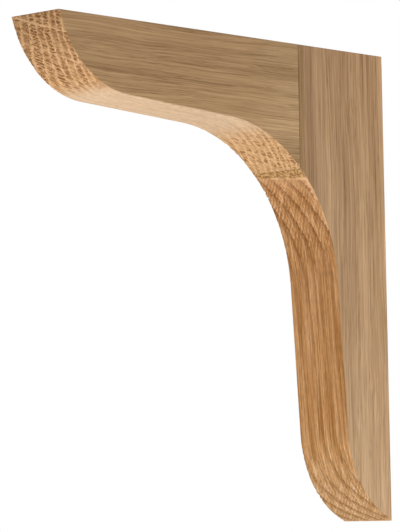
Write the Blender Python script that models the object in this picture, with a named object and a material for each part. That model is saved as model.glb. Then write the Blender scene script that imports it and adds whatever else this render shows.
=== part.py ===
"""Oak corbel bracket: a horizontal arm butted to an upright post, with one S-shaped curve sawn across both boards.

Metres, +Z up. The wall face lies in the plane Y = 0 with the origin at its centre, the arm reaches out along -Y,
and the boards' thickness runs along X.
"""

import math

import bmesh
import bpy
from mathutils import Matrix, Vector

# Overall sizes.
ARM_REACH = 0.235  # from the wall face to the tip of the arm
BRACKET_HEIGHT = 0.240
BOARD_THICKNESS = 0.032

# The butt joint, a plane parallel to the wall.
JOINT_FROM_WALL = 0.066
GLUE_LINE = 0.0003

# Underside of the arm: a straight run that falls towards the wall.
ARM_DEPTH = 0.041  # at half the reach
UNDERSIDE_FALL = math.radians(3.5)

# Front of the post: a straight run that leans back towards the wall as it goes down.
POST_DEPTH = 0.039  # at half the height
FRONT_LEAN = math.radians(4.0)

# Round stretches of the curve.
TIP_RADIUS = 0.050
CORNER_RADIUS = 0.085
FOOT_RADIUS = 0.051
CHORD = 0.0012  # longest straight step along a round stretch

OAK_ARM_COLOUR = (0.36, 0.22, 0.11, 1.0)
OAK_POST_COLOUR = (0.44, 0.27, 0.15, 1.0)
OAK_ROUGHNESS = 0.6
SMOOTH_ANGLE = math.radians(30)

WALL = 0.0
TOP = BRACKET_HEIGHT / 2
BOTTOM = -BRACKET_HEIGHT / 2


def direction(angle):
    """The unit vector at an angle from +Y towards +Z, as a 2D point (y, z)."""
    return Vector((math.cos(angle), math.sin(angle)))


def arc_points(centre, radius, start, end):
    """Points of an arc from one angle to another, both ends included."""
    steps = max(2, math.ceil(abs(end - start) * radius / CHORD))
    return [centre + radius * direction(start + (end - start) * i / steps) for i in range(steps + 1)]


def angle_of(point, centre):
    """The angle of a point seen from a centre, from 0 to a full turn."""
    return math.atan2(point.y - centre.y, point.x - centre.x) % math.tau


def meeting(point_a, along_a, point_b, along_b):
    """Where two straight lines meet."""
    across = Vector((-along_b.y, along_b.x))
    return point_a + along_a * (point_b - point_a).dot(across) / along_a.dot(across)


def nose_centre(corner, on_line, along, into_wood, radius):
    """Centre of a round nose that starts at a corner of the bracket and runs smoothly into a straight line.

    Of the two circles that do so, this is the one further along the line.
    """
    offset = on_line + into_wood * radius - corner
    half = offset.dot(along)
    return corner + offset + along * (math.sqrt(half**2 - offset.length_squared + radius**2) - half)


def sawn_curve():
    """The S-shaped curve as points (y, z), from the top of the arm's tip to the foot of the post."""
    tip = Vector((-ARM_REACH, TOP))
    foot = Vector((WALL, BOTTOM))
    along_arm = direction(-UNDERSIDE_FALL)
    up_into_arm = direction(math.pi / 2 - UNDERSIDE_FALL)
    up_post = direction(math.pi / 2 + FRONT_LEAN)
    back_into_post = direction(FRONT_LEAN)
    underside = Vector((-ARM_REACH / 2, TOP - ARM_DEPTH))
    front = Vector((-POST_DEPTH, 0.0))

    tip_centre = nose_centre(tip, underside, along_arm, up_into_arm, TIP_RADIUS)
    foot_centre = nose_centre(foot, front, up_post, back_into_post, FOOT_RADIUS)
    corner_centre = meeting(
        underside - up_into_arm * CORNER_RADIUS, along_arm, front - back_into_post * CORNER_RADIUS, up_post
    )
    tip_arc = arc_points(
        tip_centre, TIP_RADIUS, angle_of(tip, tip_centre), 1.5 * math.pi - UNDERSIDE_FALL
    )
    corner_arc = arc_points(corner_centre, CORNER_RADIUS, math.pi / 2 - UNDERSIDE_FALL, FRONT_LEAN)
    foot_arc = arc_points(
        foot_centre, FOOT_RADIUS, math.pi + FRONT_LEAN, angle_of(foot, foot_centre)
    )
    return tip_arc + corner_arc + foot_arc


def cut_at(points, y):
    """Splits the curve at a plane parallel to the wall and gives the stretches before and after it."""
    after = next(i for i, point in enumerate(points) if point.x > y)
    start, end = points[after - 1], points[after]
    crossing = start.lerp(end, (y - start.x) / (end.x - start.x))
    return points[:after] + [crossing], [crossing] + points[after:]


def oak(name, colour):
    """A plain oak finish."""
    material = bpy.data.materials.new(name)
    material.use_nodes = True
    shader = material.node_tree.nodes["Principled BSDF"]
    shader.inputs["Base Color"].default_value = colour
    shader.inputs["Roughness"].default_value = OAK_ROUGHNESS
    shader.inputs["Metallic"].default_value = 0.0
    return material


def board(name, outline, colour, collection):
    """A board of the bracket's thickness with the given outline in the plane of Y and Z."""
    curve = bpy.data.curves.new(name, "CURVE")
    curve.dimensions = "2D"
    curve.fill_mode = "BOTH"
    curve.extrude = BOARD_THICKNESS / 2
    spline = curve.splines.new("POLY")
    spline.points.add(len(outline) - 1)
    for point, place in zip(spline.points, outline):
        point.co = (place.x, place.y, 0.0, 1.0)
    spline.use_cyclic_u = True
    sawn = bpy.data.objects.new(name + "_outline", curve)
    sawn.matrix_world = Matrix.Rotation(math.pi / 2, 4, "Z") @ Matrix.Rotation(math.pi / 2, 4, "X")
    collection.objects.link(sawn)
    bpy.context.view_layer.update()

    mesh = bpy.data.meshes.new_from_object(sawn.evaluated_get(bpy.context.evaluated_depsgraph_get()))
    solid = bmesh.new()
    solid.from_mesh(mesh)
    bmesh.ops.remove_doubles(solid, verts=solid.verts, dist=1e-6)
    bmesh.ops.recalc_face_normals(solid, faces=solid.faces)
    solid.to_mesh(mesh)
    solid.free()
    mesh.name = name
    mesh.shade_smooth()
    mesh.set_sharp_from_angle(angle=SMOOTH_ANGLE)
    mesh.materials.clear()
    mesh.materials.append(oak(name + "_oak", colour))

    piece = bpy.data.objects.new(name, mesh)
    piece.matrix_world = sawn.matrix_world
    collection.objects.link(piece)
    bpy.data.objects.remove(sawn)
    return piece


def main():
    for old in list(bpy.data.objects):
        bpy.data.objects.remove(old)
    bracket = bpy.data.collections.new("corbel_bracket")
    bpy.context.scene.collection.children.link(bracket)

    curve = sawn_curve()
    arm_curve = cut_at(curve, -JOINT_FROM_WALL - GLUE_LINE)[0]
    post_curve = cut_at(curve, -JOINT_FROM_WALL)[1]
    board("shelf_arm", arm_curve + [Vector((-JOINT_FROM_WALL - GLUE_LINE, TOP))], OAK_ARM_COLOUR, bracket)
    board("wall_post", post_curve + [Vector((WALL, TOP)), Vector((-JOINT_FROM_WALL, TOP))], OAK_POST_COLOUR, bracket)


main()
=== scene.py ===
"""Oak corbel bracket, dressed: two oak boards with one S-shaped curve sawn across both, in a plain studio.

Metres, +Z up. The wall face lies in the plane Y = 0, the arm reaches out along -Y, and the boards' thickness
runs along X. Wood patterns are worked out in millimetres of the board's own cross-section.
"""

import logging
import math
from abc import ABC, abstractmethod
from collections.abc import Callable
from dataclasses import dataclass, field
from enum import Enum

import bpy
import numpy as np
from mathutils import Matrix, Vector


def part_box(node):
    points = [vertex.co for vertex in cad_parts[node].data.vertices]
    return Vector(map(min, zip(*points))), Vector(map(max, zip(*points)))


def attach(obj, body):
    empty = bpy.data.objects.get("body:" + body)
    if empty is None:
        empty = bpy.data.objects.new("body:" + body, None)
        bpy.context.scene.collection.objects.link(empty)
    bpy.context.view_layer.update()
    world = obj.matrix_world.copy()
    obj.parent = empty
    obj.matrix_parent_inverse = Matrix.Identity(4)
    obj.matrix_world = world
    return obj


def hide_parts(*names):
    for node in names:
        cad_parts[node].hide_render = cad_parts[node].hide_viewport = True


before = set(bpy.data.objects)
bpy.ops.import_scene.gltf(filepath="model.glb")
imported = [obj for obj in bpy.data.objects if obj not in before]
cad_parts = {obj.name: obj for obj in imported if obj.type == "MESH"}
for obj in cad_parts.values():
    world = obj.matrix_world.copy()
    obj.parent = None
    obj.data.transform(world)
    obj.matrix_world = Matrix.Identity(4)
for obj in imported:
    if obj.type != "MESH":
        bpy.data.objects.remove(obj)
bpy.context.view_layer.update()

LOG = logging.getLogger("corbel")
MM = 0.001
TOUCH = 1e-6  # metres; points closer than this are one point
FAR = 1.0  # metres; more than any distance on the bracket

Numbers = np.ndarray  # one value for each of many points
Socket = bpy.types.NodeSocket


def srgb(text: str) -> tuple[float, float, float, float]:
    """Turns an sRGB hex colour into the linear colour that a shader socket takes.

    Args:
        text: Six hex digits, such as "b6875b".

    Returns:
        Red, green, blue and a full alpha.
    """
    shares = [int(text[i : i + 2], 16) / 255 for i in (0, 2, 4)]
    linear = [s / 12.92 if s <= 0.04045 else ((s + 0.055) / 1.055) ** 2.4 for s in shares]
    return (*linear, 1.0)


def smooth(low: float, high: float, value: Numbers) -> Numbers:
    """Rises smoothly from 0 at low to 1 at high."""
    share = np.clip((value - low) / (high - low), 0.0, 1.0)
    return share * share * (3 - 2 * share)


class Fibre(Enum):
    """The way the fibres run in a board, with the axis that is the depth of its cross-section."""

    ALONG_ARM = ("Y", "Z")
    UP_POST = ("Z", "Y")


class Sawn(Enum):
    """How a stretch of the curve is cut, with the spacing of the rows that its relief needs, in metres."""

    CORNER = 1.2 * MM
    ROUND = 0.25 * MM
    UNDERSIDE = 1.5 * MM
    FRONT = 1.0 * MM


@dataclass(frozen=True)
class GrowthRings:
    """Growth rings in a board's cross-section, as arcs round a pith outside the board, in millimetres.

    Below a depth the arcs run straight on, with a given slope of thickness over depth.
    """

    pith: tuple[float, float]  # its place along the thickness and in depth
    first: float  # radius of the first ring
    width: float
    narrowing: float = 0.0  # how much more ring there is for each millimetre outwards
    straight_below: float = -1000.0
    slope: float = 0.0

    def polar(self, across: Numbers, deep: Numbers) -> tuple[Numbers, Numbers]:
        """Angle round the pith and distance from it.

        Args:
            across: Places along the thickness.
            deep: Places along the depth.

        Returns:
            Angles in radians and distances in millimetres.
        """
        low = np.maximum(self.straight_below - deep, 0.0)
        from_x, from_deep = across + self.slope * low - self.pith[0], deep + low - self.pith[1]
        return np.arctan2(from_deep, from_x) - low / self.first, np.hypot(from_x, from_deep)

    def count(self, radius: Numbers) -> Numbers:
        """Rings from the first one out to a radius, where a whole number is the start of a ring."""
        beyond = radius - self.first
        return beyond / self.width * (1 + self.narrowing * beyond)


@dataclass(frozen=True)
class EndGrain:
    """Vessels and rays where a saw cuts across the fibres, in millimetres of the cross-section.

    Open vessels lie in a row of dark marks in each ring, and rays, which point at the pith, part the marks.
    A real vessel is 0.2 to 0.4 mm wide and a pixel of the picture about 0.5 mm, so each mark is drawn about
    1 mm wide and stands for a few vessels side by side.
    """

    rings: GrowthRings
    seed: int
    pitch: float  # from mark to mark in a row
    fill: float  # a mark's width as a share of the pitch
    row_centre: float  # where a row's middle lies, from 0 at its ring's start to 1 at the next ring's
    row_share: float  # a row's width as a share of its ring's
    mark_strength: float
    row_shade: float  # darkness of the wood between the marks of a row
    late_strength: float  # darkness of the specks outside the rows
    edge_line: float  # darkness of the line at a ring's start
    ray_strength: float
    gap_strength: float  # lightness of the wood between two rows
    rough: float  # how far the marks' edges stray
    waves: float  # how far the rings stray from true arcs, in rings
    ragged: float  # how far the line at a ring's start frays, in rings
    strengths: tuple[tuple[float, float], ...]  # depths, each with the pattern's strength there
    clear_rays: tuple[tuple[float, float], ...] = ()  # broad rays, each with its depth and slope
    clear_ray_width: float = 0.8

    def chances(self, row: Numbers, column: Numbers) -> Numbers:
        """Five seeded random numbers for each place in a row, the same for every point of that place."""
        table = np.random.default_rng(self.seed).random((256, 1024, 5))
        return table[row.astype(int) % table.shape[0], column.astype(int) % table.shape[1]]

    def patches(self, u: Numbers, v: Numbers, salt: int) -> Numbers:
        """Smooth seeded noise, with one random value for each whole step of u and v.

        Args:
            u: Places in the first direction, in steps.
            v: Places in the second direction, in steps.
            salt: A number that tells one pattern from the others.

        Returns:
            Values from -0.5 to 0.5.
        """
        size = 512
        table = np.random.default_rng((self.seed, salt)).random((size, size)) - 0.5
        column, row = np.floor(u).astype(int), np.floor(v).astype(int)
        right, up = smooth(0.0, 1.0, u - column), smooth(0.0, 1.0, v - row)
        below, above = (
            table[line % size, column % size] * (1 - right) + table[line % size, (column + 1) % size] * right
            for line in (row, row + 1)
        )
        return below * (1 - up) + above * up

    def marks(self, u: Numbers, ring: Numbers, phase: Numbers) -> Numbers:
        """The dark marks of open vessels, each with its own place, width, length, lean and darkness.

        Args:
            u: Places round the pith.
            ring: The number of each point's row.
            phase: Places across the row, in rings from its middle.

        Returns:
            Darkness, from 0 to the strength of the marks.
        """
        column = u / self.pitch + 0.7 * self.chances(ring, np.zeros_like(ring))[..., 0]
        cell = np.floor(column)
        chance = self.chances(ring, cell)
        half_share = self.row_share * (0.36 + 0.24 * chance[..., 2])
        lean = 0.6 * (chance[..., 1] - 0.5) * phase / half_share
        sideways = (column - cell - 0.5 + lean) / (0.5 * self.fill * (0.7 + 0.6 * chance[..., 3]))
        lengthways = (phase + 0.16 * (chance[..., 4] - 0.5)) / half_share
        out = (np.abs(sideways) ** 3 + np.abs(lengthways) ** 3) ** (1 / 3)
        return (1 - smooth(0.75, 1.12, out)) * smooth(-0.15, 0.55, chance[..., 0]) * self.mark_strength

    def ring_starts(self, count: Numbers, fray: Numbers, specks: Numbers) -> Numbers:
        """The dark line at each ring's start, sharp towards the older ring and fading into its own.

        Args:
            count: Rings from the first one out to each point.
            fray: How the line's edge strays, from -0.5 to 0.5.
            specks: Fine unevenness.

        Returns:
            Darkness.
        """
        fringed = count + self.ragged * fray
        since = fringed - np.floor(fringed)
        line = np.maximum(1 - smooth(0.0, 0.14, since), 0.55 * (1 - smooth(0.1, 0.6, since)))
        return self.edge_line * np.maximum(line, smooth(0.95, 1.0, since)) * (1 + 0.3 * specks)

    def fine_rays(self, u: Numbers) -> Numbers:
        """The fine pale rays, one at about every pitch.

        Args:
            u: Places round the pith.

        Returns:
            Lightness.
        """
        strip = np.round(u / self.pitch)
        chance = self.chances(np.full_like(strip, 250), strip)
        half_ray = 0.12 + 0.25 * chance[..., 0] ** 2
        beside = np.abs(u / self.pitch - strip) * self.pitch
        return self.ray_strength * (1 - smooth(0.5, 1.6, beside / half_ray)) * (0.3 + 0.7 * chance[..., 1])

    def figure(self, across: Numbers, deep: Numbers) -> tuple[Numbers, Numbers]:
        """The pattern that a saw cut shows at points of the cross-section.

        Args:
            across: Places along the thickness.
            deep: Places along the depth.

        Returns:
            Darkness of the open vessels and lightness of the rays, each from 0 to 1.
        """
        angle, radius = self.rings.polar(across, deep)
        round_pith = angle * self.rings.first

        def uneven(size_round: float, size_out: float, salt: int) -> Numbers:
            """Noise with patches of a size in millimetres round the pith and out from it."""
            return self.patches(round_pith / size_round, radius / size_out, salt)

        u = round_pith + self.rough * uneven(0.8, 0.9, 1)
        v = radius + self.rough * uneven(0.8, 0.9, 2)
        count = self.rings.count(v) + self.waves * uneven(8, 8, 3)
        ring = np.floor(count - self.row_centre + 0.5)
        phase = count - self.row_centre - ring
        specks = uneven(0.6, 0.9, 4) + 0.7 * uneven(0.4, 0.6, 5)
        shade = self.row_shade * (1 - smooth(0.3, 0.55, np.abs(phase) / self.row_share)) * (1 + specks)
        late = self.late_strength * smooth(0.12, 0.26, specks)
        fray = self.patches(round_pith / 0.45, np.floor(count) + 0.5, 6)
        edge = self.ring_starts(count, fray, specks)

        gaps = self.gap_strength * np.clip(smooth(0.4, 0.5, np.abs(phase)) * (0.8 + specks), 0.0, 1.0)
        rays = np.maximum(self.fine_rays(u), gaps) * (1 - 0.85 * np.clip(edge, 0.0, 1.0))
        for middle, slope in self.clear_rays:
            beside = np.abs(deep - middle - slope * across + 0.8 * self.patches(across / 4, deep / 4, 7))
            rays = np.maximum(rays, 1 - smooth(0.5, 1.2, beside / (self.clear_ray_width / 2)))
        pores = np.maximum(np.maximum(self.marks(u, ring, phase), late), shade) * (1 - 0.9 * rays)
        strength = np.interp(deep, *zip(*self.strengths))
        return np.clip(strength * np.maximum(pores, edge), 0.0, 1.0), strength**2 * rays


@dataclass(frozen=True)
class Stretch:
    """One stretch of the sawn curve, as places (y, z) in metres, in the order from the tip to the foot."""

    start: Vector
    end: Vector
    cut: Sawn
    centre: Vector | None = None

    @property
    def turn(self) -> float:
        """The angle that an arc turns, anticlockwise seen with +Y to the right and +Z up."""
        a, b = self.start - self.centre, self.end - self.centre
        return math.atan2(a.x * b.y - a.y * b.x, a.dot(b))

    @property
    def length(self) -> float:
        """Length along the curve.

        Returns:
            Metres.
        """
        if self.centre is None:
            return (self.end - self.start).length
        return abs(self.turn) * (self.start - self.centre).length

    def at(self, gone: float) -> Vector:
        """The place after a length from the start.

        Args:
            gone: The length in metres.

        Returns:
            The place (y, z).
        """
        if self.centre is None:
            return self.start.lerp(self.end, gone / self.length)
        spoke = self.start - self.centre
        return self.centre + Matrix.Rotation(math.copysign(gone / spoke.length, self.turn), 2) @ spoke

    def split(self, gone: float, cuts: tuple[Sawn, Sawn]) -> list["Stretch"]:
        """The two parts before and after a length from the start, each with its own cut."""
        ends = ((self.start, self.at(gone)), (self.at(gone), self.end))
        return [Stretch(start, end, cut, self.centre) for (start, end), cut in zip(ends, cuts)]

    def draw(self) -> None:
        """Extrudes or spins the selected edge along this stretch, in rows close enough for its relief."""
        rows = max(1, round(self.length / self.cut.value))
        if self.centre is None:
            step = (self.end - self.start) / rows
            for _ in range(rows):
                bpy.ops.mesh.extrude_region_move(TRANSFORM_OT_translate={"value": (0, step.x, step.y)})
        else:
            place = (0, self.centre.x, self.centre.y)
            bpy.ops.mesh.spin(steps=rows, angle=-self.turn, center=place, axis=(1, 0, 0))

    def measure(self, y: Numbers, z: Numbers) -> tuple[Numbers, Numbers, Numbers, Numbers]:
        """Distance from this stretch, the direction out of the wood there, and the length gone along it.

        Args:
            y: Places along Y.
            z: Places along Z.

        Returns:
            The distances, the Y and Z parts of the outward direction, and the lengths from the start.
        """
        chord = self.end - self.start
        from_y, from_z = y - self.start.x, z - self.start.y
        along = (from_y * chord.x + from_z * chord.y) / chord.length_squared
        if self.centre is None:
            held = np.clip(along, 0, 1)
            distance = np.hypot(from_y - held * chord.x, from_z - held * chord.y)
            out = Vector((chord.y, -chord.x)).normalized()
            return distance, np.full_like(y, out.x), np.full_like(y, out.y), held * self.length
        spoke = self.start - self.centre
        from_y, from_z = y - self.centre.x, z - self.centre.y
        reach = np.hypot(from_y, from_z)
        past_an_end = (along < -0.02) | (along > 1.02)
        distance = np.abs(reach - spoke.length) + np.where(past_an_end, FAR, 0.0)
        sign = 1.0 if self.turn > 0 else -1.0
        turned = np.arctan2(spoke.x * from_z - spoke.y * from_y, spoke.x * from_y + spoke.y * from_z)
        return distance, sign * from_y / reach, sign * from_z / reach, sign * turned * spoke.length


def towards(angle: float) -> Vector:
    """The unit vector (y, z) at an angle from +Y towards +Z."""
    return Vector((math.cos(angle), math.sin(angle)))


@dataclass(frozen=True)
class SawnCurve:
    """The S-shaped curve: round tip, straight underside, round corner, straight front and round foot."""

    reach: float
    top: float
    bottom: float
    arm_depth: float = 0.041  # at half the reach
    underside_fall: float = math.radians(3.5)
    post_depth: float = 0.039  # at half the height
    front_lean: float = math.radians(4.0)
    tip_radius: float = 0.050
    corner_radius: float = 0.085
    foot_radius: float = 0.051

    def nose(self, corner: Vector, on_line: Vector, along: Vector, inwards: Vector, radius: float) -> Vector:
        """Centre of the round nose from a corner of the bracket that runs smoothly into a straight stretch.

        Args:
            corner: The corner that the nose starts at.
            on_line: A place on the straight stretch.
            along: The stretch's direction, away from the nose.
            inwards: The direction from the stretch into the wood.
            radius: The nose's radius.

        Returns:
            The centre of the further of the two circles that fit.
        """
        offset = on_line + inwards * radius - corner
        half = offset.dot(along)
        return corner + offset + along * (math.sqrt(half**2 - offset.length_squared + radius**2) - half)

    def stretches(self) -> list[Stretch]:
        """Works out the five stretches.

        Returns:
            The stretches, from the tip of the arm to the foot of the post.
        """
        fall, lean = self.underside_fall, self.front_lean
        along_arm, up_into_arm = towards(-fall), towards(math.pi / 2 - fall)
        up_post, back_into_post = towards(math.pi / 2 + lean), towards(lean)
        tip, foot = Vector((-self.reach, self.top)), Vector((0.0, self.bottom))
        underside = Vector((-self.reach / 2, self.top - self.arm_depth))
        front = Vector((-self.post_depth, 0.0))
        tip_centre = self.nose(tip, underside, along_arm, up_into_arm, self.tip_radius)
        foot_centre = self.nose(foot, front, up_post, back_into_post, self.foot_radius)
        low_line = underside - up_into_arm * self.corner_radius
        back_line = front - back_into_post * self.corner_radius
        across = Vector((-up_post.y, up_post.x))
        corner = low_line + along_arm * (back_line - low_line).dot(across) / along_arm.dot(across)
        places = [
            tip,
            tip_centre - up_into_arm * self.tip_radius,
            corner + up_into_arm * self.corner_radius,
            corner + back_into_post * self.corner_radius,
            foot_centre - back_into_post * self.foot_radius,
            foot,
        ]
        cuts = [Sawn.ROUND, Sawn.UNDERSIDE, Sawn.ROUND, Sawn.FRONT, Sawn.ROUND]
        centres = [tip_centre, None, corner, None, foot_centre]
        return [Stretch(*item) for item in zip(places, places[1:], cuts, centres)]


@dataclass(frozen=True)
class OakTones:
    """The colours of one oak board, as sRGB hex values."""

    planed: str
    planed_line: str
    sawn_pale: str  # where the saw ran along the fibres
    sawn_amber: str  # where it crossed them
    ring_line: str
    pore_and_nick_shade: str
    ray: str


class Nodes:
    """The emptied node tree of a material or a world, in a form that is short to write."""

    def __init__(self, owner: bpy.types.Material | bpy.types.World) -> None:
        """Empties the tree.

        Args:
            owner: The material or world that the tree belongs to.
        """
        owner.use_nodes = True
        self.owner = owner
        self.tree = owner.node_tree
        self.tree.nodes.clear()

    def add(self, kind: str, inputs: dict | tuple = (), out: str | int = 0, **settings: object) -> Socket:
        """Adds a node with its settings, values and links.

        Args:
            kind: The node's type without ShaderNode, and its operation if it has one, such as "Math ADD".
            inputs: A value or a socket for each input, in order or by name or number.
            out: Which output is given back.
            settings: The node's own properties.

        Returns:
            The output socket, or the first input of a node that has no output.
        """
        kind, _, operation = kind.partition(" ")
        node = self.tree.nodes.new("ShaderNode" + kind)
        if operation:
            settings["operation"] = operation
        for name, value in settings.items():
            setattr(node, name, value)
        for key, value in inputs.items() if isinstance(inputs, dict) else enumerate(inputs):
            if isinstance(value, Socket):
                self.tree.links.new(value, node.inputs[key])
            else:
                node.inputs[key].default_value = value
        return node.outputs[out] if node.outputs else node.inputs[0]


@dataclass(frozen=True)
class JointStrip:
    """The darker strip of the post's wood along the joint, in millimetres, with its sRGB hex colours."""

    joint: float
    width: float
    more_across: float  # how much wider it gets for each millimetre of thickness
    more_down: float  # how much wider it gets for each millimetre down
    shadow: str = "f0eddd"  # what dims it on the planed side
    blot: str = "775017"
    between_blots: str = "c7a06a"


class Streak(Enum):
    """Noise drawn out along the fibres.

    Each has its size in millimetres across, in depth and along the fibres, then its detail and its roughness.
    """

    SOFT_BAND = ((14, 12, 300), 1.0, 0.5)
    STREAK = ((3.0, 2.6, 150), 2.0, 0.55)
    LINE = ((1.3, 0.9, 80), 3.0, 0.65)
    HAIR = ((0.6, 0.45, 40), 2.0, 0.6)
    SAWN_LINE = ((1.15, 5.0, 110), 2.0, 0.6)
    SAWN_HAIR = ((0.55, 3.0, 40), 1.0, 0.5)
    FLECK = ((0.8, 0.8, 5.0), 2.0, 0.7)


@dataclass(frozen=True)
class Grain:
    """Sockets that give a board's grain at each point of its surface."""

    in_mm: Socket  # the place in millimetres
    along: Socket  # the place along the fibres
    wavy: Socket  # the place across, in depth and along, swaying with the fibres
    from_pith: Socket  # the place square to the fibres, from the pith
    radius: Socket  # the distance from the pith
    ring_line: Socket  # 1 at the open vessels that start a ring
    vessels: Socket  # 1 in an open vessel along the fibres
    streaks: dict[Streak, Socket]
    sawn: Socket  # 1 on the sawn face, 0 on the planed ones


@dataclass(frozen=True)
class Oak:
    """European oak, planed on its flat faces and sawn and sanded along the curve, with no finish on it.

    To the eye that is a matt, warm tan wood: greyish where it was planed, pale where the saw ran along the
    fibres, and deep amber with open vessels where it cut across them.
    """

    name: str
    tones: OakTones
    rings: GrowthRings
    fibre: Fibre
    band_on_planed: float
    line_on_pale: float
    streak_on_pale: float
    strip: JointStrip | None = None

    def material(self) -> bpy.types.Material:
        """Builds the node tree of the board.

        Returns:
            The material.
        """
        nodes = Nodes(bpy.data.materials.new(self.name))
        add = nodes.add
        grain = self.grain(nodes)
        planed, sawn = self.planed_colour(nodes, grain), self.sawn_colour(nodes, grain)
        both = add("MixRGB", (grain.sawn, planed, sawn))
        colour = self.tone_post(nodes, both, grain) if self.strip else self.tone_arm(nodes, both, grain)

        # Bare wood has an IOR of about 1.5 and no sheen. Sawn wood is rougher than planed wood, and open
        # vessels are small grooves.
        hairs = grain.streaks[Streak.HAIR]
        rough_sawn = add("MapRange", {0: grain.sawn, 3: 0.5, 4: 0.62})
        rough = add("Math MULTIPLY_ADD", (hairs, 0.2, rough_sawn))
        lowered = add("Math MULTIPLY_ADD", (grain.vessels, -0.6, hairs))
        bump = add("Bump", {"Strength": 0.5, "Distance": 0.12 * MM, "Height": lowered})
        finish = {"Metallic": 0.0, "IOR": 1.5, "Specular IOR Level": 0.3}
        surface = add("BsdfPrincipled", {"Base Color": colour, "Roughness": rough, "Normal": bump, **finish})
        add("OutputMaterial", {"Surface": surface})
        return nodes.owner

    def grain(self, nodes: Nodes) -> Grain:
        """Lays out the fibres, the growth rings, the streaks and the open vessels.

        Args:
            nodes: The material's tree.

        Returns:
            The grain's sockets.
        """
        add = nodes.add
        place = add("TexCoord", out="Object")
        in_mm = add("VectorMath SCALE", {0: place, "Scale": 1 / MM})
        fibre_axis, depth_axis = self.fibre.value
        x, deep, along = (add("SeparateXYZ", {0: in_mm}, out=axis) for axis in ("X", depth_axis, fibre_axis))
        still = add("CombineXYZ", {"X": x, "Y": deep, "Z": along})
        sawn = add("Attribute", out="Fac", attribute_name="sawn")

        # The fibres wander a little along the board, which makes the planed faces' lines gently wavy.
        slow = add("VectorMath MULTIPLY", (still, (1 / 70, 1 / 45, 1 / 130)))
        wander = add("TexNoise", {"Vector": slow, "Scale": 1.0, "Detail": 2.0}, out="Color")
        centred = add("VectorMath SUBTRACT", (wander, (0.5, 0.5, 0.5)))
        sway_by = add("MapRange", {0: sawn, 3: 9.0, 4: 0.0})
        sway = add("VectorMath SCALE", {0: centred, "Scale": sway_by})
        wavy = add("VectorMath ADD", (still, sway))
        drift = add("VectorMath SCALE", {0: centred, "Scale": 4.0})
        drifting = add("VectorMath ADD", (still, drift))

        # Growth rings: distance from the pith, then the count of rings to there.
        rings = self.rings
        wavy_deep = add("SeparateXYZ", {0: wavy}, out="Y")
        above = add("Math SUBTRACT", (rings.straight_below, wavy_deep))
        low = add("Math MAXIMUM", (above, 0.0))
        unbend = add("CombineXYZ", {"X": add("Math MULTIPLY", (low, rings.slope)), "Y": low})
        unbent = add("VectorMath ADD", (wavy, unbend))
        off_pith = add("VectorMath SUBTRACT", (unbent, (*rings.pith, 0.0)))
        from_pith = add("VectorMath MULTIPLY", (off_pith, (1.0, 1.0, 0.0)))
        radius = add("VectorMath LENGTH", {0: from_pith}, out="Value")
        beyond = add("Math SUBTRACT", (radius, rings.first))
        narrow = add("Math MULTIPLY_ADD", (beyond, rings.narrowing, 1.0))
        ratio = add("Math DIVIDE", (beyond, rings.width))
        count = add("Math MULTIPLY", (ratio, narrow))

        # Streaks along the fibres: on the planed faces they sway, and on the sawn face they drift a little.
        paths = dict.fromkeys(Streak, wavy) | {
            Streak.SAWN_LINE: drifting,
            Streak.SAWN_HAIR: drifting,
            Streak.FLECK: still,
        }
        streaks = {}
        for streak, path in paths.items():
            size, detail, roughness = streak.value
            drawn = add("VectorMath MULTIPLY", (path, tuple(1 / side for side in size)))
            noise = {"Vector": drawn, "Scale": 1.0, "Detail": detail, "Roughness": roughness}
            streaks[streak] = add("TexNoise", noise)

        # The line of vessels at a ring's start is sharp on one side, fades on the other and comes and goes.
        ragged = add("Math MULTIPLY_ADD", (streaks[Streak.LINE], 0.16, count))
        phase = add("Math FRACT", {0: ragged})
        ring = add("Math FLOOR", {0: ragged})
        ring_chance = add("TexWhiteNoise", {"W": ring}, out="Value", noise_dimensions="1D")
        fade = add("MapRange", (phase, 0.0, 0.55, 1.0, 0.0), interpolation_type="SMOOTHSTEP")
        sharp = add("MapRange", (phase, 0.9, 1.0), interpolation_type="SMOOTHSTEP")
        line = add("Math MAXIMUM", (fade, sharp))
        line_share = add("MapRange", {0: ring_chance, 3: 0.6, 4: 1.0})
        streaky = add("MapRange", (streaks[Streak.STREAK], 0.35, 0.62, 0.45, 1.0))
        line_each = add("Math MULTIPLY", (line, line_share))
        ring_line = add("Math MULTIPLY", (line_each, streaky))

        # Open vessels along the fibres: dark dashes about 5 mm long and 0.4 mm wide, a little wider than real
        # ones, which the picture's pixels would lose.
        vessels_at = add("VectorMath MULTIPLY", (wavy, (1 / 1.0, 1 / 0.8, 1 / 12)))
        vessel_cells = add("TexVoronoi", {"Vector": vessels_at, "Scale": 1.0}, out="Distance")
        vessels = add("MapRange", (vessel_cells, 0.12, 0.32, 1.0, 0.0))
        return Grain(in_mm, along, wavy, from_pith, radius, ring_line, vessels, streaks, sawn)

    def planed_colour(self, nodes: Nodes, grain: Grain) -> Socket:
        """Mixes the planed faces' greyish tan with its darker streaks, and the end grain of the post's top.

        Args:
            nodes: The material's tree.
            grain: The board's grain.

        Returns:
            The colour.
        """
        add = nodes.add
        tones = (
            (Streak.SOFT_BAND, 0.3, 0.7, self.band_on_planed),
            (Streak.STREAK, 0.34, 0.66, 0.28),
            (Streak.LINE, 0.44, 0.62, 0.28),
            (Streak.HAIR, 0.44, 0.62, 0.26),
        )
        streaked = 0.0
        for streak, pale, dark, most in tones:
            tone = add("MapRange", (grain.streaks[streak], pale, dark, 0.0, most))
            streaked = add("Math ADD", (tone, streaked))
        early = add("MapRange", (grain.ring_line, 0.0, 0.8, 0.25, 1.0))
        dashes = add("Math MULTIPLY", (grain.vessels, early))
        planed_dark = add("Math MULTIPLY_ADD", (dashes, 0.4, streaked), use_clamp=True)

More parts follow.
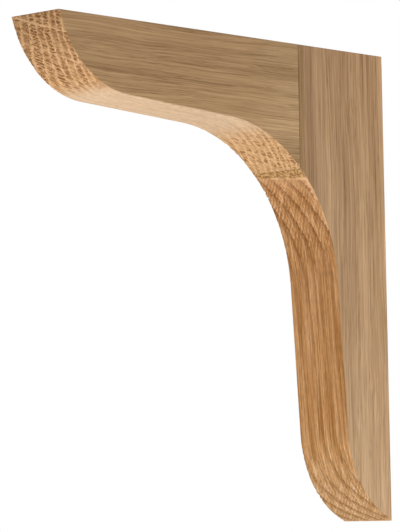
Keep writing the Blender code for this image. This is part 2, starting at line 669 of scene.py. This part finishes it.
        # Top of the post, cut square across the fibres: arcs of open vessels, drawn as dots 0.6 mm apart, and
        # pale rays about 1 mm apart. Real ones are finer, and wouldn't show.
        cross_cut = add("Attribute", out="Fac", attribute_name="cross_cut")
        from_x, from_deep = (add("SeparateXYZ", {0: grain.from_pith}, out=axis) for axis in "XY")
        angle = add("Math ARCTAN2", (from_deep, from_x))
        round_pith = add("Math MULTIPLY", (angle, self.rings.first))
        outwards = add("Math DIVIDE", (grain.radius, 16.0))
        rays_at = add("CombineXYZ", {"X": round_pith, "Y": outwards})
        ray_noise = add("TexNoise", {"Vector": rays_at, "Scale": 1.0, "Detail": 1.0})
        rays = add("MapRange", (ray_noise, 0.52, 0.62, 0.0, 0.7))
        cut_rays = add("Math MULTIPLY", (rays, cross_cut))
        dots_at = add("VectorMath MULTIPLY", (grain.wavy, (1 / 0.6, 1 / 0.6, 0.0)))
        dot_cells = add("TexVoronoi", {"Vector": dots_at, "Scale": 1.0}, out="Distance")
        dots = add("MapRange", (dot_cells, 0.25, 0.5, 1.0, 0.25))
        dotted = add("Math MULTIPLY", (dots, grain.ring_line))
        cut_dark = add("Math MULTIPLY_ADD", (streaked, 0.35, dotted), use_clamp=True)
        dark = add("MapRange", {0: cross_cut, 3: planed_dark, 4: cut_dark})
        lined = add("MixRGB", (dark, srgb(self.tones.planed), srgb(self.tones.planed_line)))
        return add("MixRGB", (cut_rays, lined, srgb(self.tones.ray)))

    def sawn_colour(self, nodes: Nodes, grain: Grain) -> Socket:
        """Mixes the sawn face: paler where it runs along the fibres, deeper where it crosses them.

        Args:
            nodes: The material's tree.
            grain: The board's grain.

        Returns:
            The colour.
        """
        add = nodes.add
        notes = ("pore_and_nick_shade", "ray", "end_grain")
        pore_and_nick_shade, ray, end = (add("Attribute", out="Fac", attribute_name=note) for note in notes)
        base = add("MixRGB", (end, srgb(self.tones.sawn_pale), srgb(self.tones.sawn_amber)))
        line_weight = add("MapRange", {0: end, 3: self.line_on_pale, 4: 0.35})
        line_part = add("Math MULTIPLY", (grain.ring_line, line_weight))
        long_dark = add("MapRange", (grain.streaks[Streak.SAWN_LINE], 0.48, 0.64, 0.0, 0.5))
        thin_dark = add("MapRange", (grain.streaks[Streak.SAWN_HAIR], 0.48, 0.62, 0.0, 0.42))
        fine_dark = add("Math ADD", (long_dark, thin_dark))
        dark = add("Math MULTIPLY_ADD", (fine_dark, self.streak_on_pale, line_part), use_clamp=True)
        lined = add("MixRGB", (dark, base, srgb(self.tones.ring_line)))
        most_light = 0.7 * self.streak_on_pale
        light = add("MapRange", (grain.streaks[Streak.SAWN_LINE], 0.47, 0.3, 0.0, most_light))
        streaked = add("MixRGB", (light, lined, srgb(self.tones.ray)))
        # The pore colour also paints the shade inside the nicks.
        pore_share = add("Math MULTIPLY", (pore_and_nick_shade, 0.9))
        pored = add("MixRGB", (pore_share, streaked, srgb(self.tones.pore_and_nick_shade)))
        ray_share = add("Math MULTIPLY", (ray, 0.7))
        rayed = add("MixRGB", (ray_share, pored, srgb(self.tones.ray)))
        fleck_tone = add("MapRange", (grain.streaks[Streak.FLECK], 0.32, 0.68, 0.82, 1.16))
        return add("VectorMath SCALE", {0: rayed, "Scale": fleck_tone})

    def tone_arm(self, nodes: Nodes, colour: Socket, grain: Grain) -> Socket:
        """Pales the arm's wood over its last 40 mm before the joint.

        Args:
            nodes: The material's tree.
            colour: The colour so far.
            grain: The board's grain.

        Returns:
            The colour with the paler end.
        """
        near = nodes.add("MapRange", (grain.along, -106.0, -80.0), interpolation_type="SMOOTHSTEP")
        factors = (1.05, 1.09, 1.13, 1.0)
        return nodes.add("MixRGB", (near, colour, factors), blend_type="MULTIPLY")

    def tone_post(self, nodes: Nodes, colour: Socket, grain: Grain) -> Socket:
        """Darkens the strip along the joint, and paints light on the wood: paler towards the wall and towards
        the foot.

        Args:
            nodes: The material's tree.
            colour: The colour so far.
            grain: The board's grain.

        Returns:
            The colour with all of these.
        """
        add = nodes.add
        x, y, z = (add("SeparateXYZ", {0: grain.in_mm}, out=axis) for axis in "XYZ")

        # How far into the strip a point lies, as a share of the strip's width there.
        beyond = add("Math SUBTRACT", (y, self.strip.joint))
        by_x = add("Math MULTIPLY_ADD", (x, self.strip.more_across, self.strip.width))
        width = add("Math MULTIPLY_ADD", (z, -self.strip.more_down, by_x))
        wave = add("TexNoise", {"Vector": grain.in_mm, "Scale": 1 / 4, "Detail": 2.0})
        wavy_beyond = add("Math MULTIPLY_ADD", (wave, 1.6, beyond))
        share = add("Math DIVIDE", (wavy_beyond, width))
        strip = add("MapRange", (share, 1.05, 1.25, 1.0, 0.0), interpolation_type="SMOOTHSTEP")

        # Painted light: the planed side is painted lighter towards the wall, and the strip on it is only a
        # little darker.
        painted_light_to_wall = add("MapRange", (y, self.strip.joint, 0.0, 0.82, 1.14))
        lit = add("VectorMath SCALE", {0: colour, "Scale": painted_light_to_wall})
        on_planed = add("MixRGB", (strip, lit, srgb(self.strip.shadow)), blend_type="MULTIPLY")

        # On the sawn face the strip is blotched olive, and a thin broken pale line and paler wood follow it.
        blots = add("TexNoise", {"Vector": grain.in_mm, "Scale": 1 / 1.5, "Detail": 2.0, "Roughness": 0.7})
        clear_blots = add("MapRange", (blots, 0.4, 0.6))
        blotched = add("MixRGB", (clear_blots, srgb(self.strip.blot), srgb(self.strip.between_blots)))
        olive_share = add("Math MULTIPLY", (strip, 0.72))
        olive = add("MixRGB", (olive_share, colour, blotched))
        rising = add("MapRange", (share, 1.05, 1.25), interpolation_type="SMOOTHSTEP")
        falling = add("MapRange", (share, 1.3, 1.6, 0.75, 0.0), interpolation_type="SMOOTHSTEP")
        broken = add("MapRange", (wave, 0.36, 0.52))
        line = add("Math MULTIPLY", (falling, broken))
        paling = add("MapRange", (share, 1.2, 3.2, 0.25, 0.0), interpolation_type="SMOOTHSTEP")
        below = add("Math MAXIMUM", (line, paling))
        pale_share = add("Math MULTIPLY", (rising, below))
        on_sawn = add("MixRGB", (pale_share, olive, srgb(self.tones.ray)))
        toned = add("MixRGB", (grain.sawn, on_planed, on_sawn))

        # Painted light from below: the wood is painted a little yellower and paler towards the foot, and most
        # of all on the sawn foot.
        down = add("MapRange", (z, 112.0, -112.0))
        painted_light_tint = add("MixRGB", (down, (0.90, 0.88, 0.89, 1.0), (0.99, 1.05, 1.15, 1.0)))
        painted_light_tinted = add("MixRGB", (1.0, toned, painted_light_tint), blend_type="MULTIPLY")
        at_foot = add("MapRange", (z, -66.0, -110.0), interpolation_type="SMOOTHSTEP")
        sawn_foot = add("Math MULTIPLY", (at_foot, grain.sawn))
        return add("MixRGB", (sawn_foot, painted_light_tinted, (0.90, 0.98, 1.12, 1.0)), blend_type="MULTIPLY")


@dataclass
class Board(ABC):
    """One of the two oak boards, from the belt of faces round it to its finish."""

    name: str
    slot: str
    curve: SawnCurve
    end_grain: EndGrain
    oak: Oak
    end_grain_from: tuple[float, float] = (0.2, 0.5)  # squareness of cut where end grain starts and is full
    nicks: tuple[tuple[float, float, float], ...] = ()  # length along the curve, X and size of each
    pale_arris: tuple[float, ...] = ()  # lengths along the curve: the pale fringe's start, full part and end
    arris: float = 0.6 * MM
    planed_arris: float = 0.35 * MM
    cuts_across: int = 123  # a cut every 0.25 mm
    pore_depth: float = 0.22 * MM
    ripple_depth: float = 0.03 * MM
    chip_depth: float = 0.35 * MM
    stretches: list[Stretch] = field(default_factory=list)
    piece: bpy.types.Object | None = None

    def __post_init__(self) -> None:
        """Takes the board's box from its CAD node."""
        self.low, self.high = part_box(self.name)
        self.half = (self.high.x - self.low.x) / 2

    @abstractmethod
    def straight_sides(self) -> list[Vector]:
        """The corners (y, z) after the sawn curve, on the way back to its start."""

    def fine_stretches(self) -> list[Stretch]:
        """The stretches of the sawn curve on this board, with end rows longer than the bevel.

        Shorter rows there would let the bevel overlap itself.

        Returns:
            The stretches, cut off at the joint.
        """
        kept = []
        for piece in self.curve.stretches():
            first, last = max(piece.start.x, self.low.y), min(piece.end.x, self.high.y)
            if last - first > TOUCH:
                kept.append(self.between(piece, first, last))
        first, last = kept[0], kept[-1]
        long_first = first.split(Sawn.CORNER.value, (Sawn.CORNER, first.cut))
        long_last = last.split(last.length - Sawn.CORNER.value, (last.cut, Sawn.CORNER))
        return [*long_first, *kept[1:-1], *long_last]

    def between(self, piece: Stretch, first: float, last: float) -> Stretch:
        """Cuts a stretch off at two planes parallel to the wall.

        Args:
            piece: The stretch.
            first: Y of the plane nearer the tip.
            last: Y of the plane nearer the wall.

        Returns:
            The part in between.
        """
        ends = []
        for y, own in ((first, piece.start), (last, piece.end)):
            if abs(y - own.x) < TOUCH:
                ends.append(own)
                continue
            radius = (own - piece.centre).length
            side = 1 if own.y > piece.centre.y else -1
            ends.append(Vector((y, piece.centre.y + side * math.sqrt(radius**2 - (y - piece.centre.x) ** 2))))
        return Stretch(ends[0], ends[1], piece.cut, piece.centre)

    def draw_belt(self) -> None:
        """Draws the belt of faces round the board from one edge across its thickness, spun and extruded."""
        bpy.ops.object.select_all(action="DESELECT")
        start = self.stretches[0].start
        bpy.ops.mesh.primitive_plane_add(size=2 * self.half, location=(0, start.x, start.y))
        self.piece = bpy.context.object
        self.piece.name = self.name + "_oak"
        bpy.ops.object.transform_apply(location=True, rotation=True, scale=True)
        bpy.ops.object.mode_set(mode="EDIT")
        bpy.ops.mesh.select_mode(type="EDGE")
        self.select_edges(lambda a, b: min(a.y, b.y) > start.x)
        bpy.ops.mesh.delete(type="VERT")
        bpy.ops.mesh.select_all(action="SELECT")
        bpy.ops.transform.translate(value=(0, self.half, 0))
        for stretch in self.stretches:
            stretch.draw()
        here = self.stretches[-1].end
        for corner in [*self.straight_sides(), start]:
            step = corner - here
            bpy.ops.mesh.extrude_region_move(TRANSFORM_OT_translate={"value": (0, step.x, step.y)})
            here = corner
        bpy.ops.mesh.select_all(action="SELECT")
        bpy.ops.mesh.remove_doubles(threshold=10 * TOUCH)

    def select_edges(self, wanted: Callable[[Vector, Vector], bool]) -> None:
        """Selects the edges that pass a test, and nothing else.

        Args:
            wanted: The test, which takes the places of an edge's two ends.
        """
        bpy.ops.mesh.select_all(action="DESELECT")
        bpy.ops.object.mode_set(mode="OBJECT")
        mesh = self.piece.data
        for edge in mesh.edges:
            edge.select = bool(wanted(*(mesh.vertices[i].co for i in edge.vertices)))
        bpy.ops.object.mode_set(mode="EDIT")

    def close_sides(self) -> None:
        """Fills the two flat side faces and turns every face outwards."""
        for side in (-self.half, self.half):
            self.select_edges(lambda a, b, side=side: abs(a.x - side) + abs(b.x - side) < TOUCH)
            bpy.ops.mesh.edge_face_add()
        bpy.ops.mesh.select_all(action="SELECT")
        bpy.ops.mesh.normals_make_consistent(inside=False)
        bpy.ops.object.mode_set(mode="OBJECT")

    def ease_arrises(self) -> None:
        """Rounds the outer edges with a bevel, wider along the sawn curve, but not the joint's edges."""
        mesh = self.piece.data
        joint = self.joint_plane()
        slight = self.planed_arris / self.arris
        weights = mesh.attributes.new("bevel_weight_edge", "FLOAT", "EDGE")
        values = np.zeros(len(mesh.edges), np.float32)
        for edge in mesh.edges:
            a, b = (mesh.vertices[i].co for i in edge.vertices)
            if abs(a.y - joint) < TOUCH and abs(b.y - joint) < TOUCH:
                continue
            if abs(a.x - b.x) > TOUCH:
                values[edge.index] = slight if self.is_corner(a) else 0.0
            else:
                values[edge.index] = 1.0 if self.is_sawn(a) and self.is_sawn(b) else slight
        weights.data.foreach_set("value", values)
        bevel = self.piece.modifiers.new("eased arrises", "BEVEL")
        bevel.width = self.arris
        bevel.segments = 4
        bevel.limit_method = "WEIGHT"
        bevel.use_clamp_overlap = False
        bpy.ops.object.modifier_apply(modifier=bevel.name)
        for vertex in mesh.vertices:
            vertex.co = [min(max(c, low), high) for c, low, high in zip(vertex.co, self.low, self.high)]

    @abstractmethod
    def joint_plane(self) -> float:
        """Y of the face that is glued to the other board."""

    def is_corner(self, place: Vector) -> bool:
        """Whether a place is on an outer corner line of the board that runs along the thickness."""
        corners = [self.stretches[0].start, self.stretches[-1].end, *self.straight_sides()]
        return any((Vector(place.yz) - corner).length < TOUCH for corner in corners)

    def is_sawn(self, place: Vector) -> bool:
        """Whether a place is on the sawn curve."""
        y, z = np.array([place.y]), np.array([place.z])
        return min(stretch.measure(y, z)[0][0] for stretch in self.stretches) < 10 * TOUCH

    def lay_rows(self) -> None:
        """Divides the faces along the thickness, so that the sawn face is fine enough for its relief."""
        bpy.ops.object.mode_set(mode="EDIT")
        bpy.ops.mesh.select_mode(type="EDGE")
        self.select_edges(lambda a, b: abs(a.x - b.x) > self.half)
        bpy.ops.mesh.subdivide(number_cuts=self.cuts_across)
        bpy.ops.object.mode_set(mode="OBJECT")

    def keep_flats_flat(self) -> None:
        """Shades the board smooth, but marks the borders of its flat faces sharp, so that they stay flat."""
        bpy.ops.object.shade_smooth_by_angle(angle=math.radians(40))
        mesh = self.piece.data
        flat_sides: dict[tuple[int, int], int] = {}
        for face in mesh.polygons:
            if max(abs(part) for part in face.normal) > 0.99999:
                for key in face.edge_keys:
                    flat_sides[key] = flat_sides.get(key, 0) + 1
        for edge in mesh.edges:
            if flat_sides.get(tuple(sorted(edge.vertices)), 0) == 1:
                edge.use_edge_sharp = True

    def survey(self, y: Numbers, z: Numbers) -> tuple[Numbers, Numbers, Numbers, Numbers]:
        """Distance from the board's sawn curve, the direction out of the wood, and the length gone along it.

        Args:
            y: Places along Y.
            z: Places along Z.

        Returns:
            The same four as Stretch.measure, from whichever stretch is nearest.
        """
        best = [np.full_like(y, np.inf), np.zeros_like(y), np.zeros_like(y), np.zeros_like(y)]
        gone = 0.0
        for stretch in self.stretches:
            found = list(stretch.measure(y, z))
            found[3] = found[3] + gone
            nearer = found[0] < best[0]
            best = [np.where(nearer, new, old) for new, old in zip(found, best)]
            gone += stretch.length
        return tuple(best)

    def chips(self, x: Numbers, gone: Numbers) -> Numbers:
        """Small chips along the sawn arrises, each about 1 mm long.

        Args:
            x: Places along X.
            gone: Lengths along the curve.

        Returns:
            Depths, as shares of the deepest chip's.
        """
        rng = np.random.default_rng(self.end_grain.seed + 100)
        knots = np.arange(0, 0.25, 1.1 * MM)
        left, right = (np.interp(gone, knots, rng.random(len(knots)) ** 3) for _ in range(2))
        from_side = self.half - np.abs(x)
        return np.where(x > 0, right, left) * (1 - smooth(0.3 * MM, 1.6 * MM, from_side))

    def carve(self) -> None:
        """Moves the sawn face's points inwards for pores, saw marks and wear, notes what they are, and paints
        shade into the nicks.
        """
        mesh = self.piece.data
        count = len(mesh.vertices)
        places = np.empty(count * 3)
        mesh.vertices.foreach_get("co", places)
        places = places.reshape(-1, 3)
        x, y, z = places.T
        distance, out_y, out_z, gone = self.survey(y, z)
        near = distance < self.arris * 1.05
        sawn = near & (self.half - np.abs(x) > TOUCH) & (self.high.z - z > TOUCH) & (-y > TOUCH)
        arm = self.oak.fibre is Fibre.ALONG_ARM
        end_grain = smooth(*self.end_grain_from, np.abs(out_y if arm else out_z)) * near
        pores, rays = self.end_grain.figure(x / MM, (z if arm else y) / MM)
        pores, rays = pores * end_grain * sawn, rays * end_grain * sawn

        # The saw leaves a ripple about 4 mm long, uneven and a little askew.
        ripple = 0.5 + 0.5 * np.sin(gone / (0.65 * MM) + 2.0 * np.sin(gone / (9 * MM)) + x / (7 * MM))
        inwards = self.pore_depth * pores + self.ripple_depth * ripple
        inwards += self.chip_depth * self.chips(x, gone) * (0.15 + 0.85 * end_grain)
        if self.pale_arris:
            ragged = self.end_grain.patches(gone / (0.8 * MM), np.zeros_like(gone), 8)
            from_arris = self.half - x - (0.5 + 2.4 * ragged) * MM
            fringe = smooth(*self.pale_arris[:2], gone) * (1 - smooth(*self.pale_arris[2:], gone))
            rays = np.maximum(rays, fringe * sawn * (1 - smooth(0.5 * MM, 1.1 * MM, from_arris)))
            pores = pores * (1 - rays)
        # Each nick is a carved dent whose inside is also painted dark with the pore colour and loses its pale
        # rays: painted shade in the dent.
        for gone_to, nick_x, size in self.nicks:
            away = np.hypot(gone - gone_to, x - nick_x) / size
            dent = 1 - smooth(0.3, 1.0, away)
            inwards += 0.6 * size * dent
            rays = rays * (1 - dent)
            pores = np.maximum(pores, smooth(0.0, 0.6, dent) * sawn)
        inwards *= near * smooth(0.4 * MM, 1.6 * MM, np.minimum(self.high.z - z, -y))
        cross_cut = (self.high.z - z < TOUCH) & (not arm)
        off_joint = np.abs(y - self.joint_plane()) > TOUCH
        places[:, 1] -= out_y * inwards * off_joint
        places[:, 2] -= out_z * inwards
        places = np.clip(places, self.low, self.high)
        mesh.vertices.foreach_set("co", places.ravel())
        notes = {"sawn": sawn, "pore_and_nick_shade": pores, "ray": rays, "end_grain": end_grain * sawn}
        for label, values in (notes | {"cross_cut": cross_cut}).items():
            layer = mesh.attributes.new(label, "FLOAT", "POINT")
            layer.data.foreach_set("value", np.ascontiguousarray(values, np.float32))
        mesh.update()

    def dress(self) -> None:
        """Gives the board its oak and ties it to the frame."""
        self.piece.data.materials.clear()
        self.piece.data.materials.append(self.oak.material())
        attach(self.piece, "root")
        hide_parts(self.name)

    def build(self) -> bpy.types.Object:
        """Models and dresses the board.

        Returns:
            The finished piece.
        """
        self.stretches = self.fine_stretches()
        self.draw_belt()
        self.close_sides()
        self.ease_arrises()
        self.lay_rows()
        self.keep_flats_flat()
        self.carve()
        self.dress()
        return self.piece


class ShelfArm(Board):
    """The horizontal board under the shelf, with its fibres along its length."""

    def straight_sides(self) -> list[Vector]:
        """Up the joint and back along the top."""
        return [Vector((self.high.y, self.high.z))]

    def joint_plane(self) -> float:
        """Y of the arm's inner end."""
        return self.high.y


class WallPost(Board):
    """The upright board against the wall, with its fibres upright."""

    def straight_sides(self) -> list[Vector]:
        """Up the wall face, along the top and down the joint."""
        return [Vector((self.high.y, self.high.z)), Vector((self.low.y, self.high.z))]

    def joint_plane(self) -> float:
        """Y of the post's front above the curve."""
        return self.low.y


@dataclass(frozen=True)
class Softbox:
    """A soft studio lamp that the camera doesn't see."""

    name: str
    place: tuple[float, float, float]
    aim: tuple[float, float, float]
    size: float
    watts: float

    def hang(self) -> None:
        """Puts the lamp in the scene."""
        lamp = bpy.data.lights.new(self.name, "AREA")
        lamp.shape = "DISK"
        lamp.size = self.size
        lamp.energy = self.watts
        holder = bpy.data.objects.new(self.name, lamp)
        bpy.context.scene.collection.objects.link(holder)
        holder.location = self.place
        look = Vector(self.aim) - Vector(self.place)
        holder.rotation_euler = look.to_track_quat("-Z", "Y").to_euler()
        holder.visible_camera = False


@dataclass(frozen=True)
class Studio:
    """The plain pale floor, the soft lamps and the camera, fitted to the photograph."""

    floor_height: float = -0.45
    floor_size: float = 4.0
    surround: float = 0.55
    aim: tuple[float, float, float] = (-0.00917, -0.11434, 0.00739)
    distance: float = 1.5632
    yaw: float = math.radians(42.80)
    pitch: float = math.radians(4.579)
    roll: float = math.radians(-1.014)
    lens: float = 213.8

    def lay_floor(self) -> None:
        """Adds the pale floor."""
        bpy.ops.object.select_all(action="DESELECT")
        bpy.ops.mesh.primitive_plane_add(size=self.floor_size, location=(0, 0, self.floor_height))
        floor = bpy.context.object
        floor.name = "floor"

        # Matt white paper, which gives the eye an even ground without a highlight.
        nodes = Nodes(bpy.data.materials.new("pale_floor"))
        paper = nodes.add("BsdfPrincipled", {"Base Color": srgb("f2f1ee"), "Roughness": 0.8})
        nodes.add("OutputMaterial", {"Surface": paper})
        floor.data.materials.append(nodes.owner)

    def light(self) -> None:
        """Sets the white surround and hangs the lamps, the strongest from below and from the right."""
        world = bpy.data.worlds.new("white_surround")
        bpy.context.scene.world = world
        nodes = Nodes(world)
        to_camera = nodes.add("LightPath", out="Is Camera Ray")
        strength = nodes.add("MapRange", {0: to_camera, 3: self.surround, 4: 1.0})
        white = nodes.add("Background", {"Color": srgb("ffffff"), "Strength": strength})
        nodes.add("OutputWorld", {"Surface": white})
        Softbox("side_softbox", (0.75, -0.02, -0.50), aim=(0.0, -0.05, -0.04), size=0.5, watts=7.5).hang()
        Softbox("low_softbox", (0.02, -0.30, -0.43), aim=(0.0, -0.12, 0.05), size=0.5, watts=4.0).hang()

    def place_camera(self) -> None:
        """Puts the camera where it sees the bracket as the photograph does."""
        camera = bpy.data.cameras.new("camera")
        camera.lens = self.lens
        camera.clip_start, camera.clip_end = 0.01, 50.0
        holder = bpy.data.objects.new("camera", camera)
        bpy.context.scene.collection.objects.link(holder)
        turned = (
            Matrix.Rotation(self.yaw, 4, "Z")
            @ Matrix.Rotation(math.pi / 2 + self.pitch, 4, "X")
            @ Matrix.Rotation(self.roll, 4, "Z")
        )
        back = turned @ Vector((0, 0, 1))
        holder.matrix_world = Matrix.Translation(Vector(self.aim) + back * self.distance) @ turned
        bpy.context.scene.camera = holder
        bpy.context.scene.view_settings.view_transform = "Standard"


def boards() -> list[Board]:
    """The two boards with their own wood.

    Returns:
        The arm and the post.
    """
    arm_low, arm_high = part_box("shelf_arm")
    post_low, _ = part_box("wall_post")
    curve = SawnCurve(reach=-arm_low.y, top=arm_high.z, bottom=post_low.z)
    arm_rings = GrowthRings((-62.8, 128.8), 60.8, 4.9, narrowing=0.0082, straight_below=88.0, slope=0.65)
    post_rings = GrowthRings((289.6, -272.0), 355.7, 6.6)
    arm_end = EndGrain(
        arm_rings,
        seed=11,
        pitch=1.35,
        fill=0.64,
        row_centre=0.0,
        row_share=0.84,
        mark_strength=1.8,
        row_shade=0.42,
        late_strength=0.55,
        edge_line=0.0,
        ray_strength=0.7,
        gap_strength=0.6,
        rough=1.2,
        waves=0.5,
        ragged=0.0,
        strengths=((62.0, 0.58), (76.0, 0.5), (86.0, 0.7), (95.0, 1.0)),
        clear_rays=((114.8, -0.32),),
    )
    post_end = EndGrain(
        post_rings,
        seed=23,
        pitch=1.35,
        fill=0.6,
        row_centre=0.6,
        row_share=0.85,
        mark_strength=0.55,
        row_shade=0.0,
        late_strength=0.15,
        edge_line=1.3,
        ray_strength=1.0,
        gap_strength=0.0,
        rough=0.6,
        waves=0.15,
        ragged=0.12,
        strengths=((-50.0, 1.0), (-40.0, 0.75), (-36.0, 0.35), (-30.0, 0.45), (-22.0, 0.85)),
    )
    arm_tones = OakTones(
        planed="c7a175",
        planed_line="896741",
        sawn_pale="c4a889",
        sawn_amber="c69b6c",
        ring_line="94683a",
        pore_and_nick_shade="704206",
        ray="d8ac82",
    )
    post_tones = OakTones(
        planed="dcb487",
        planed_line="88623a",
        sawn_pale="b5824f",
        sawn_amber="b9854f",
        ring_line="84500e",
        pore_and_nick_shade="74430a",
        ray="d6ab7e",
    )
    strip = JointStrip(joint=post_low.y / MM, width=3.8, more_across=0.065, more_down=0.01)
    arm_oak = Oak(
        "arm_oak_bare",
        arm_tones,
        arm_rings,
        Fibre.ALONG_ARM,
        band_on_planed=0.34,
        line_on_pale=0.12,
        streak_on_pale=0.4,
    )
    post_oak = Oak(
        "post_oak_bare",
        post_tones,
        post_rings,
        Fibre.UP_POST,
        band_on_planed=0.24,
        line_on_pale=0.4,
        streak_on_pale=0.85,
        strip=strip,
    )
    arm = ShelfArm("shelf_arm", "arm_oak", curve, arm_end, arm_oak)
    post = WallPost(
        "wall_post",
        "post_oak",
        curve,
        post_end,
        post_oak,
        end_grain_from=(0.03, 0.34),
        nicks=((11.9 * MM, -15.4 * MM, 1.3 * MM), (15.6 * MM, -15.5 * MM, 1.0 * MM)),
        pale_arris=(0.5 * MM, 3.0 * MM, 16 * MM, 24 * MM),
    )
    return [arm, post]


def main() -> None:
    """Builds the studio and the boards."""
    logging.basicConfig(level=logging.INFO, format="%(name)s: %(message)s")
    studio = Studio()
    studio.place_camera()
    studio.lay_floor()
    studio.light()
    for board in boards():
        piece = board.build()
        LOG.info("%s: %d vertices, %d faces", piece.name, len(piece.data.vertices), len(piece.data.polygons))


if __name__ == "__main__":
    main()
